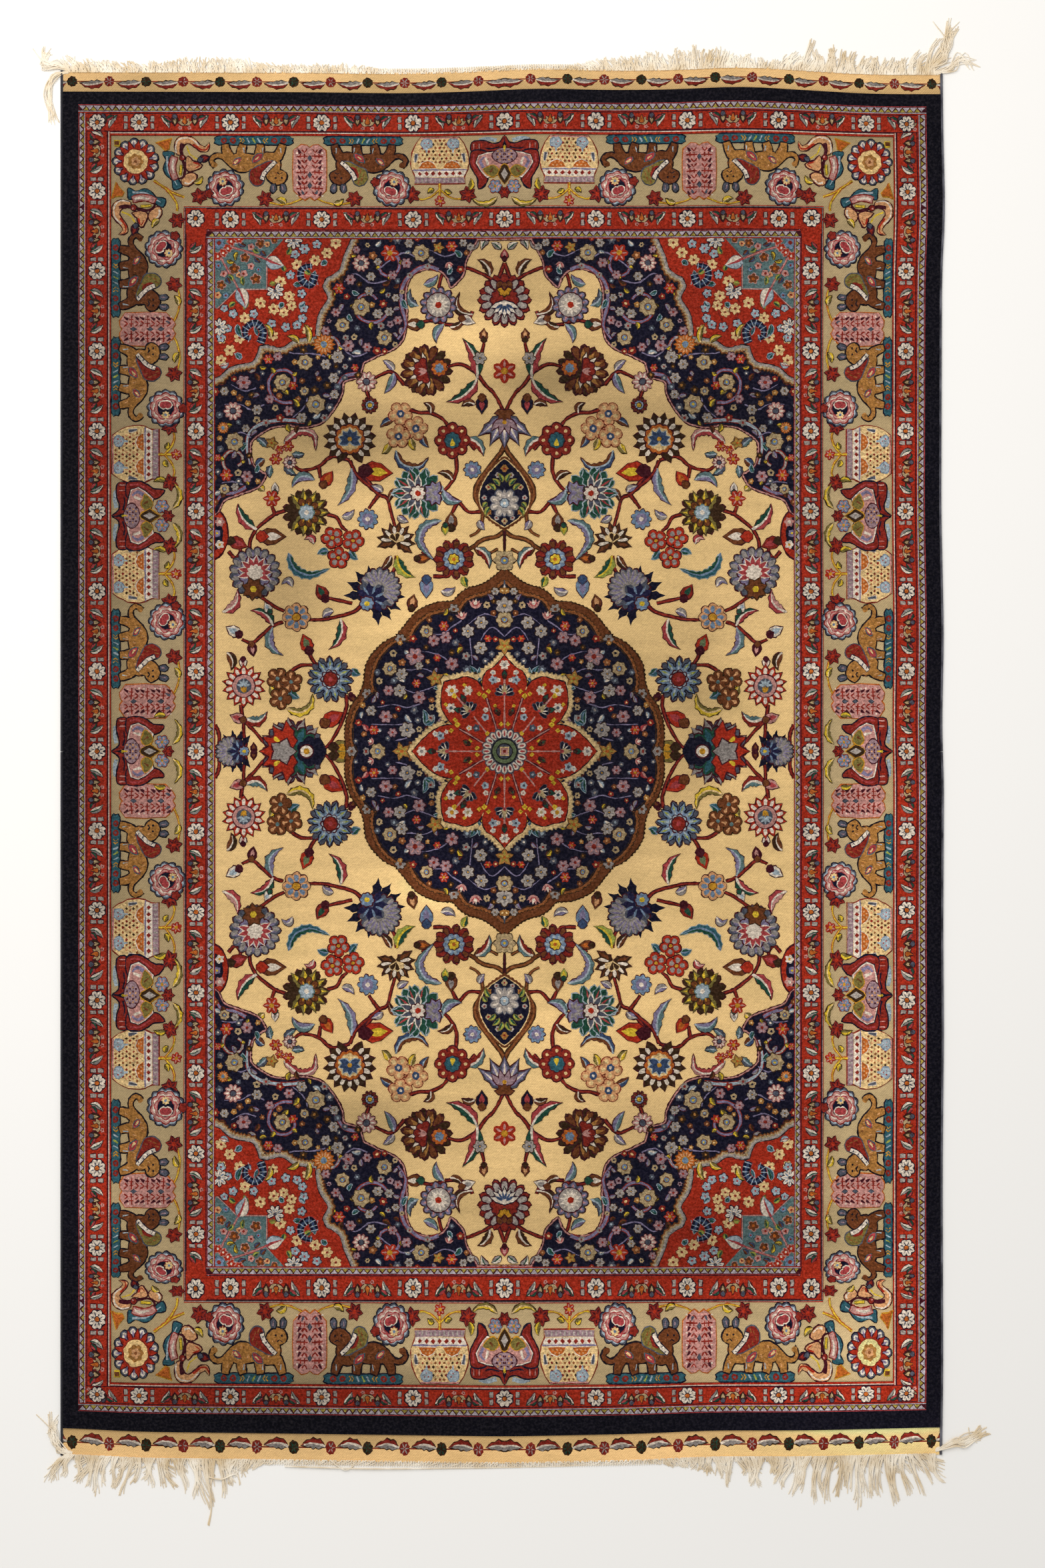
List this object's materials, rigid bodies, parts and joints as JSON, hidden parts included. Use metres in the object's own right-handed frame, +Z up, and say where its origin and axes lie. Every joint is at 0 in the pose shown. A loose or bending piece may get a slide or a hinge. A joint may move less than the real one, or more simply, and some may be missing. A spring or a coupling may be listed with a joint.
{
  "type": "persian rug",
  "caption": "Flat hand-woven rug with raised pile motifs on a flat-woven ground, plain woven ends, overcast sides and loose fringe.",
  "frame": {"origin": "middle of the whole footprint, fringe included, on the floor", "axes": "+Y along the rug's length towards its top end, +X across its width to the right, +Z up out of the pile"},
  "size_m": [1.398, 2.2416, 0.0046],
  "materials": {
    "cloth": "silk pile with a soft sheen on a flat silk weave",
    "selvedge": "dark overcast yarn, matt",
    "fringe": "undyed warp yarn, matt"
  },
  "bodies": {
    "root": {"rug": "cloth", "selvedge_left": "selvedge", "selvedge_right": "selvedge", "fringe_top": "fringe", "fringe_bottom": "fringe"}
  },
  "joints": []
}
